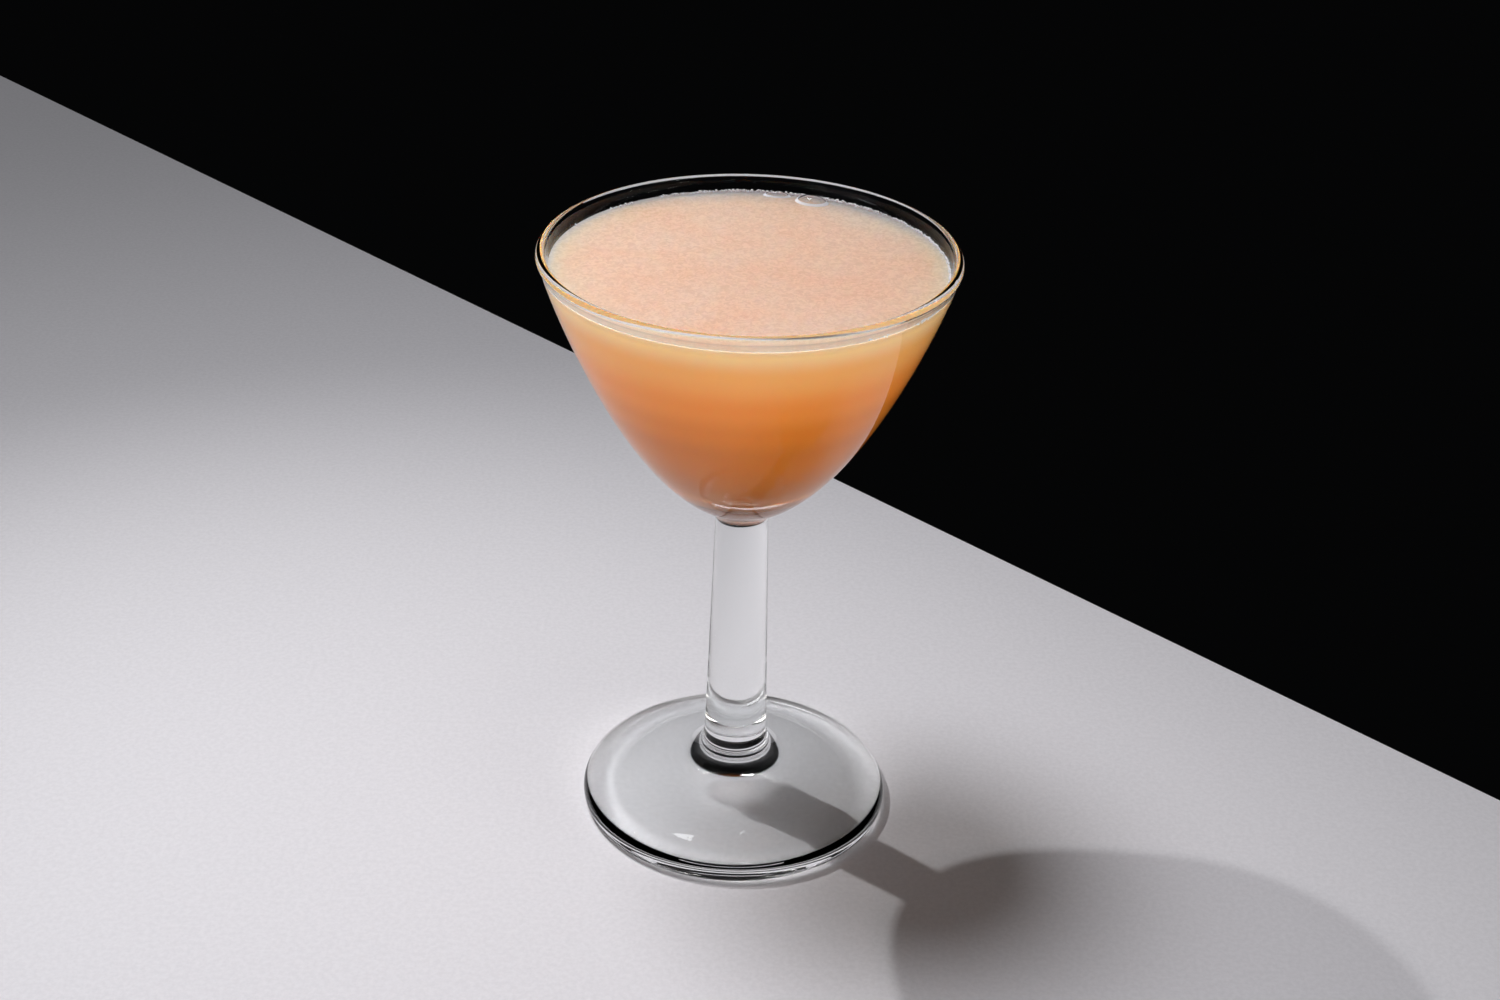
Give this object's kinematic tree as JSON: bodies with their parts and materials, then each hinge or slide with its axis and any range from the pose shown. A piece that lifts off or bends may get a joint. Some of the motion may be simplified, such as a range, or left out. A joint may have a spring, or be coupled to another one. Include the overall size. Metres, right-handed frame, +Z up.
{
  "type": "cocktail in a stemmed glass",
  "caption": "Peach-coloured cocktail in a clear pressed cocktail glass, filled nearly to the brim, with a short stem and a round foot.",
  "frame": {"origin": "centre of the foot's underside, on the table plane", "axes": "+Z up along the stem, -Y towards the viewer, +X to the viewer's right; the two bubbles lie at the far wall, towards +Y"},
  "size_m": [0.084, 0.084, 0.131],
  "materials": {
    "clear_glass": "clear, fire-polished",
    "cocktail": "wet, cloudy"
  },
  "bodies": {
    "root": {"glass": "clear_glass", "drink": "cocktail"}
  },
  "joints": []
}
